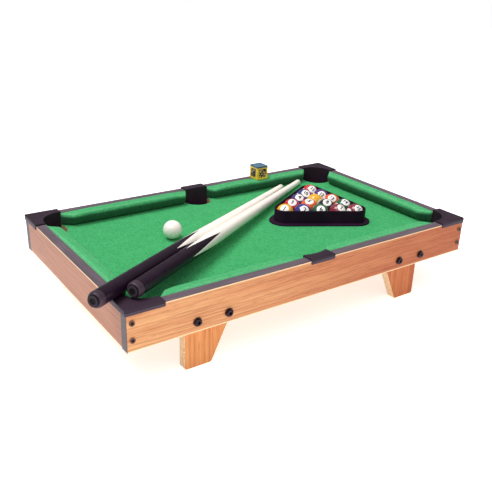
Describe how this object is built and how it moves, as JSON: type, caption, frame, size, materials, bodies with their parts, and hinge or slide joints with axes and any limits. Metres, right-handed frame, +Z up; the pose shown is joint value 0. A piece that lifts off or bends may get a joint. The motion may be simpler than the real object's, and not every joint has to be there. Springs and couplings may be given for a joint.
{
  "type": "pool table",
  "caption": "Tabletop pool table with wood-foil aprons, green felt bed and cushions, black moulded pockets, plank legs, racked balls, cues and chalk.",
  "frame": {"origin": "below the middle of the bed, on the surface that the feet stand on; the cue butts reach past the left end, so the whole set's box is centred 14.8 mm to -X of it", "axes": "+X along the table towards the racked balls' end, +Y across it towards the chalk's side, +Z up"},
  "size_m": [0.5413, 0.3172, 0.1221],
  "materials": {
    "apron_wood": "satin printed cherry-tone wood foil",
    "leg_wood": "satin printed cherry-tone wood foil, grain upright",
    "edge_band": "dark grey edge band",
    "board": "raw fibreboard",
    "bed_felt": "napped green felt",
    "rail_felt": "napped green felt stretched over rubber",
    "pocket_plastic": "moulded, satin",
    "bolt_black": "black oxide, semi-gloss",
    "screw_steel": "blackened steel",
    "insert_brass": "turned",
    "rack_plastic": "moulded, smooth",
    "cue_ball": "polished",
    "cue_rubber": "smooth",
    "cue_end_cap": "satin",
    "cue_wood": "lacquered, with a dark painted butt and points",
    "cue_tip": "pale pressed leather",
    "chalk": "dry pressed chalk",
    "chalk_label": "printed paper",
    "ball_01": "polished, solid colour",
    "ball_02": "polished, solid colour",
    "ball_03": "polished, solid colour",
    "ball_04": "polished, solid colour",
    "ball_05": "polished, solid colour",
    "ball_06": "polished, solid colour",
    "ball_07": "polished, solid colour",
    "ball_08": "polished, solid colour",
    "ball_09": "polished, ivory with a broad colour stripe",
    "ball_10": "polished, ivory with a broad colour stripe",
    "ball_11": "polished, ivory with a broad colour stripe",
    "ball_12": "polished, ivory with a broad colour stripe",
    "ball_13": "polished, ivory with a broad colour stripe",
    "ball_14": "polished, ivory with a broad colour stripe",
    "ball_15": "polished, ivory with a broad colour stripe"
  },
  "bodies": {
    "table": {"side_apron_near": "apron_wood", "side_apron_far": "apron_wood", "end_apron_left": "apron_wood", "end_apron_right": "apron_wood", "apron_top_bands": "edge_band", "apron_end_bands": "edge_band", "bed_board": "board", "bed_cloth": "bed_felt", "bed_battens": "board", "cushion_near_left": "rail_felt", "cushion_near_right": "rail_felt", "cushion_far_right": "rail_felt", "cushion_far_left": "rail_felt", "cushion_end_left": "rail_felt", "cushion_end_right": "rail_felt", "corner_pocket_near_left": "pocket_plastic", "corner_pocket_near_right": "pocket_plastic", "corner_pocket_far_right": "pocket_plastic", "corner_pocket_far_left": "pocket_plastic", "side_pocket_near": "pocket_plastic", "side_pocket_far": "pocket_plastic", "corner_pocket_cups": "pocket_plastic", "side_pocket_cups": "pocket_plastic", "cup_screws": "screw_steel", "leg_near_left": "leg_wood", "leg_near_right": "leg_wood", "leg_far_left": "leg_wood", "leg_far_right": "leg_wood", "leg_bolt_washers": "bolt_black", "leg_bolts": "bolt_black", "leg_insert_nuts": "insert_brass", "apron_screws": "screw_steel"},
    "rack": {"rack": "rack_plastic"},
    "cue_ball": {"cue_ball": "cue_ball"},
    "ball_01": {"ball_01": "ball_01"},
    "ball_02": {"ball_02": "ball_02"},
    "ball_03": {"ball_03": "ball_03"},
    "ball_04": {"ball_04": "ball_04"},
    "ball_05": {"ball_05": "ball_05"},
    "ball_06": {"ball_06": "ball_06"},
    "ball_07": {"ball_07": "ball_07"},
    "ball_08": {"ball_08": "ball_08"},
    "ball_09": {"ball_09": "ball_09"},
    "ball_10": {"ball_10": "ball_10"},
    "ball_11": {"ball_11": "ball_11"},
    "ball_12": {"ball_12": "ball_12"},
    "ball_13": {"ball_13": "ball_13"},
    "ball_14": {"ball_14": "ball_14"},
    "ball_15": {"ball_15": "ball_15"},
    "cue_a": {"cue_a_bumper": "cue_rubber", "cue_a_end_cap": "cue_end_cap", "cue_a_shaft": "cue_wood", "cue_a_tip": "cue_tip"},
    "cue_b": {"cue_b_bumper": "cue_rubber", "cue_b_end_cap": "cue_end_cap", "cue_b_shaft": "cue_wood", "cue_b_tip": "cue_tip"},
    "chalk": {"chalk_block": "chalk", "chalk_label": "chalk_label"}
  },
  "joints": [
    {"name": "rack_lift", "type": "slide", "parent": "table", "child": "rack", "axis": [0, 0, 1], "range_m": [0, 0.06]},
    {"name": "cue_a_lift", "type": "slide", "parent": "table", "child": "cue_a", "axis": [0, 0, 1], "range_m": [0, 0.06]},
    {"name": "cue_b_lift", "type": "slide", "parent": "table", "child": "cue_b", "axis": [0, 0, 1], "range_m": [0, 0.06]},
    {"name": "chalk_lift", "type": "slide", "parent": "table", "child": "chalk", "axis": [0, 0, 1], "range_m": [0, 0.05]},
    {"name": "cue_ball_lift", "type": "slide", "parent": "table", "child": "cue_ball", "axis": [0, 0, 1], "range_m": [0, 0.05]},
    {"name": "ball_01_lift", "type": "slide", "parent": "table", "child": "ball_01", "axis": [0, 0, 1], "range_m": [0, 0.05]},
    {"name": "ball_02_lift", "type": "slide", "parent": "table", "child": "ball_02", "axis": [0, 0, 1], "range_m": [0, 0.05]},
    {"name": "ball_03_lift", "type": "slide", "parent": "table", "child": "ball_03", "axis": [0, 0, 1], "range_m": [0, 0.05]},
    {"name": "ball_04_lift", "type": "slide", "parent": "table", "child": "ball_04", "axis": [0, 0, 1], "range_m": [0, 0.05]},
    {"name": "ball_05_lift", "type": "slide", "parent": "table", "child": "ball_05", "axis": [0, 0, 1], "range_m": [0, 0.05]},
    {"name": "ball_06_lift", "type": "slide", "parent": "table", "child": "ball_06", "axis": [0, 0, 1], "range_m": [0, 0.05]},
    {"name": "ball_07_lift", "type": "slide", "parent": "table", "child": "ball_07", "axis": [0, 0, 1], "range_m": [0, 0.05]},
    {"name": "ball_08_lift", "type": "slide", "parent": "table", "child": "ball_08", "axis": [0, 0, 1], "range_m": [0, 0.05]},
    {"name": "ball_09_lift", "type": "slide", "parent": "table", "child": "ball_09", "axis": [0, 0, 1], "range_m": [0, 0.05]},
    {"name": "ball_10_lift", "type": "slide", "parent": "table", "child": "ball_10", "axis": [0, 0, 1], "range_m": [0, 0.05]},
    {"name": "ball_11_lift", "type": "slide", "parent": "table", "child": "ball_11", "axis": [0, 0, 1], "range_m": [0, 0.05]},
    {"name": "ball_12_lift", "type": "slide", "parent": "table", "child": "ball_12", "axis": [0, 0, 1], "range_m": [0, 0.05]},
    {"name": "ball_13_lift", "type": "slide", "parent": "table", "child": "ball_13", "axis": [0, 0, 1], "range_m": [0, 0.05]},
    {"name": "ball_14_lift", "type": "slide", "parent": "table", "child": "ball_14", "axis": [0, 0, 1], "range_m": [0, 0.05]},
    {"name": "ball_15_lift", "type": "slide", "parent": "table", "child": "ball_15", "axis": [0, 0, 1], "range_m": [0, 0.05]}
  ]
}
